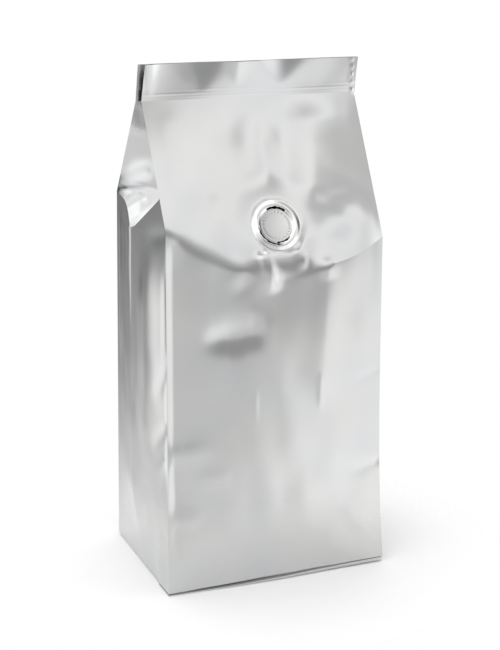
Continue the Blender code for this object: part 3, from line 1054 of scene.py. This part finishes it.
# %% [markdown]
# ## The foot's folded seal
#
# Before it is filled, the tube is sealed across its lower end, and that flat seal is folded under.
# The bag stands on it. Its edge lies flush under the front on the left, and works loose towards
# the right, where its layers stand a little apart. It could be a groove in the film, but a piece
# of its own casts the thin dark line that such an edge has. A cube is cut into slices, and the
# slices are laid along the front's foot.

# %% List the seal's edge along the foot: place across, place to the front and thickness
FIN_LINE = (
    (-0.0415, -0.0320, 0.0003), (-0.0300, -0.0322, 0.0003), (-0.0147, -0.0327, 0.0004),
    (0.0019, -0.0327, 0.0006), (0.0207, -0.0318, 0.0009), (0.0418, -0.0312, 0.0012),
)
FIN_DEPTH = 0.011
FIN_STEPS = 60
FIN_GAP = 0.0005
FIN_CREASE = 28.0

# %% Cut a cube into slices and lay them along the foot
nothing_selected()
bpy.ops.mesh.primitive_cube_add(size=1.0, location=(0.0, 0.0, 0.0))
fin = name_piece("foot_seal")
open_piece(fin)
for cut in range(1, FIN_STEPS):
    bpy.ops.mesh.select_all(action="SELECT")
    bpy.ops.mesh.bisect(plane_co=(cut / FIN_STEPS - 0.5, 0.0, 0.0), plane_no=(1.0, 0.0, 0.0))
close_piece()
line = np.array(FIN_LINE)
across, back, up = read_points(fin).T + 0.5
at = line[0, 0] + across * (line[-1, 0] - line[0, 0])
front, thick = (np.interp(at, line[:, 0], line[:, column]) for column in (1, 2))
gap = FIN_GAP * smooth(across)
write_points(
    fin, np.stack([at, front + back * FIN_DEPTH, cad_low.z + gap + up * thick], axis=1))
finish_piece(fin, FIN_CREASE, silver_film, "film", "bag")

# %% [markdown]
# ## The valve
#
# A one-way valve lets the gas from fresh coffee out. It is a small moulded cup welded to the film
# from inside, so the film shows a raised ring and a stamped disc with faint studs, and dark breaks
# in the narrow slot between them. A lathe profile that is spun would give the ring, but not the
# breaks and the studs. So a circle drawn at the valve's place is inset again and again, until it
# holds fine rings of points, and each point is lifted to the relief's height at its place.

# %% Describe the ring and the disc: radii and heights over the film, in millimetres
RING_OUTER = 9.4
RING_CREST = 7.2
RING_INNER = 5.6
RING_HEIGHT = 0.85
DISC_HEIGHT = 0.12
DISC_DOME = 0.12
STUD_RADIUS = 4.9
STUD_WIDTH = 0.35
STUD_COUNT = 26
STUD_HEIGHT = 0.05
STUD_SHIFT, STUD_SHIFTS = 2.0, 3.0


def ring_height(radius, turn):
    """A ring with a broad outer flank and a steeper inner one, round a low disc with studs."""
    outer = RING_HEIGHT * smooth((RING_OUTER - radius) / (RING_OUTER - RING_CREST))
    flank = smooth((radius - RING_INNER) / (RING_CREST - RING_INNER))
    inner = DISC_HEIGHT + (RING_HEIGHT - DISC_HEIGHT) * flank
    disc = DISC_DOME * (1.0 - np.clip(radius / RING_INNER, 0.0, 1.0) ** 2)
    angle = np.radians(turn)
    beat = np.cos(angle * STUD_COUNT + STUD_SHIFT * np.sin(angle * STUD_SHIFTS))
    stud = STUD_HEIGHT * np.exp(-(((radius - STUD_RADIUS) / STUD_WIDTH) ** 2)) * beat
    return np.where(radius > RING_CREST, outer, inner + disc + stud)


# %% Describe the slot's breaks: middle and half angle, then radius, half width and depth
SLOTS = (
    (86.0, 34.0, 6.3, 0.26, 2.0),
    (236.0, 52.0, 6.9, 0.24, 2.0),
    (292.0, 26.0, 6.1, 0.16, 2.0),
)
RAGGED_SWING, RAGGED_TEETH, RAGGED_WAVES = 0.5, 17.0, 5.0


def slot_depth(radius, turn):
    angle = np.radians(turn)
    ragged = 1.0 + RAGGED_SWING * np.sin(angle * RAGGED_TEETH) * np.sin(angle * RAGGED_WAVES)
    cut = np.zeros(radius.shape)
    for middle, half, place, width, depth in SLOTS:
        apart = np.abs((turn - middle + 180.0) % 360.0 - 180.0) / half
        open_here = np.clip(1.0 - apart**4, 0.0, 1.0)
        cut += depth * open_here * np.exp(-(((radius - place) / (width * ragged)) ** 4))
    return cut


# %% Inset a circle again and again: rim and crest, slot, disc's edge, disc
VALVE_SIDES = 192
VALVE_BASE = 0.0024
VALVE_INSETS = (0.1,) * 20 + (0.06,) * 24 + (0.1,) * 14 + (0.5,) * 8

nothing_selected()
bpy.ops.mesh.primitive_circle_add(
    vertices=VALVE_SIDES, radius=VALVE_RADIUS, fill_type="NGON",
    location=valve_centre - valve_out * VALVE_BASE, rotation=valve_axes.transposed().to_euler())
valve = name_piece("valve_ring")
bpy.ops.object.transform_apply(location=True, rotation=True, scale=True)
open_piece(valve, "FACE")
bpy.ops.mesh.select_all(action="SELECT")
bpy.ops.mesh.extrude_region_move(TRANSFORM_OT_translate={"value": valve_out * VALVE_BASE})
for step_in in VALVE_INSETS:
    bpy.ops.mesh.inset(thickness=step_in / 1000.0, depth=0.0)
bpy.ops.mesh.poke()
bpy.ops.mesh.select_all(action="SELECT")
bpy.ops.mesh.normals_make_consistent(inside=False)
close_piece()
print("rings of points on the valve:", len(VALVE_INSETS))

# %% Lift the points of the valve's face into the relief
FACE_LEVEL = -0.1

places = read_points(valve)
across, climb, out = from_valve(places).T
radius, turn = np.hypot(across, climb), np.degrees(np.arctan2(climb, across))
relief = ring_height(radius, turn) - slot_depth(radius, turn)
lift = np.where(out > FACE_LEVEL, relief, 0.0)
write_points(valve, places + np.array(valve_out) * lift[:, None] / 1000.0)
print("valve relief, mm:", round(lift.min(), 2), "to", round(lift.max(), 2))

# %% [markdown]
# ## The valve's painted shade
#
# The valve's film is painted brighter than the bag's film, as a painted highlight on the ring.
# The disc is painted a little darker than the ring, and darker towards its left, as painted shade,
# and the slot's breaks are painted dark by their depth, as the shade that falls in them. A slot
# darkens by itself only if it is far deeper than wide, so each point also keeps a painted shade in a
# layer of the mesh, and the finish is multiplied by it. A painted image could do the same, but a
# layer needs no unwrapping and moves with the points.

# %% Paint shade: darken the disc, most on its left, and the slot with its depth
PAINTED_SHADE_LAYER = "painted_shade"
# painted shade: the disc is made darker than the ring, most towards its left side
DISC_PAINTED_SHADE = 0.72
DISC_PAINTED_SHADE_RISE = 0.15
# painted shade: the slot's breaks darken with their depth, to near black, as the shade in a deep
# slot
SLOT_PAINTED_SHADE_DEPTH = 0.9
DARKEST_PAINTED_SHADE = 0.03

on_ring = smooth((radius - RING_INNER) / (RING_CREST - RING_INNER))
disc_painted_shade = DISC_PAINTED_SHADE + DISC_PAINTED_SHADE_RISE * np.clip(across / RING_INNER, -1.0, 1.0)
slot_painted_shade = np.clip(1.0 + lift / SLOT_PAINTED_SHADE_DEPTH, DARKEST_PAINTED_SHADE, 1.0)
painted_shade = (disc_painted_shade + (1.0 - disc_painted_shade) * on_ring) * slot_painted_shade
layer = valve.data.attributes.new(PAINTED_SHADE_LAYER, "FLOAT", "POINT")
layer.data.foreach_set("value", painted_shade.astype(np.float32))
print("shade, darkest and mean:", round(painted_shade.min(), 2), round(painted_shade.mean(), 2))


# %% Multiply the valve's finish by its painted shade
def paint_shade_on_finish(material):
    tree = material.node_tree
    film = tree.nodes["Principled BSDF"]
    layer = tree.nodes.new("ShaderNodeAttribute")
    layer.attribute_name = PAINTED_SHADE_LAYER
    scale = tree.nodes.new("ShaderNodeVectorMath")
    scale.operation = "SCALE"
    link_nodes(tree, (
        (film.inputs["Base Color"].links[0].from_socket, scale.inputs[0]),
        (layer.outputs["Fac"], scale.inputs["Scale"]),
        (scale.outputs["Vector"], film.inputs["Base Color"]),
    ))
    return material


VALVE_CREASE = 50.0
# painted highlight: the same film at a brighter grey than the bag's, so that the ring reads bright
valve_film = paint_shade_on_finish(film_finish(
    "valve_film", grey=0.74, roughness=0.14, ripple=260.0, ripple_depth=0.00003))
finish_piece(valve, VALVE_CREASE, valve_film, "valve", "valve")
